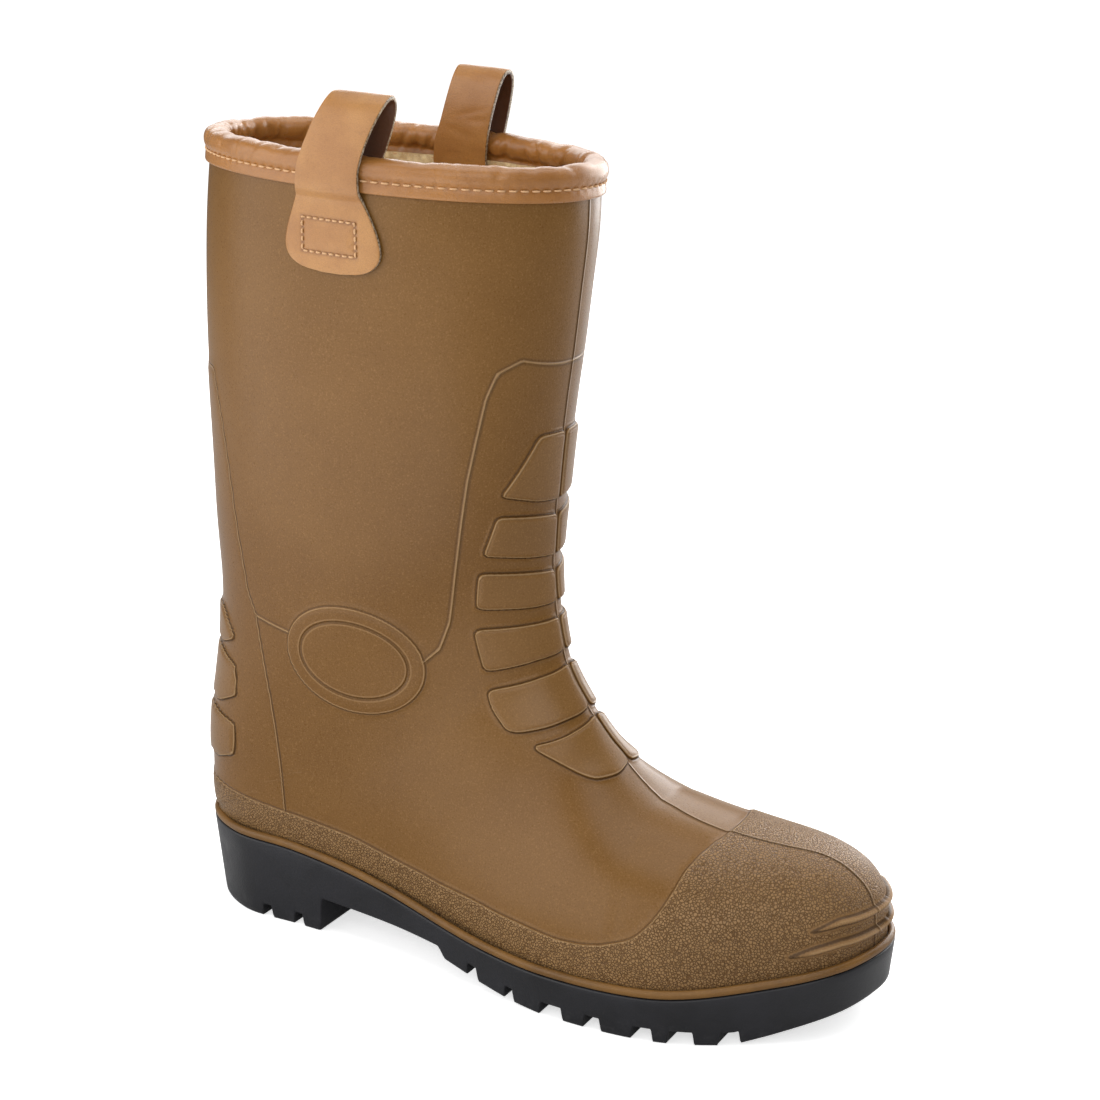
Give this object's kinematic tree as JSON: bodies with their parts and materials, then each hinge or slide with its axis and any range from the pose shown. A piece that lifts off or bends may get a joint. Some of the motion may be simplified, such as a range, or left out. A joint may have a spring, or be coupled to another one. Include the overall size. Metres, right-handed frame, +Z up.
{
  "type": "rigger boot",
  "caption": "Calf-high pull-on safety rigger boot for the right foot: moulded upper with shin and heel pads, toe cap, lugged sole, fleece-lined bound collar and pull loops.",
  "frame": {"origin": "on the floor under the middle of the heel", "axes": "+X towards the toe, +Y towards the wearer's left (inner side of this right boot), +Z up; metres"},
  "size_m": [0.3055, 0.1128, 0.3517],
  "materials": {
    "upper_pvc": "satin moulded PVC, fine speckle on the shaft and pebble grain on the band and toe cap",
    "welt_pvc": "satin, smooth bead",
    "outsole_rubber": "satin, smooth moulded",
    "collar_leather": "soft satin, fine grain, pale stitching",
    "insole_fabric": "matt fleece"
  },
  "bodies": {
    "root": {"outsole": "outsole_rubber", "insole": "insole_fabric", "upper": "upper_pvc", "welt": "welt_pvc", "collar_binding": "collar_leather", "pull_loop_outer": "collar_leather", "pull_loop_inner": "collar_leather"}
  },
  "joints": []
}
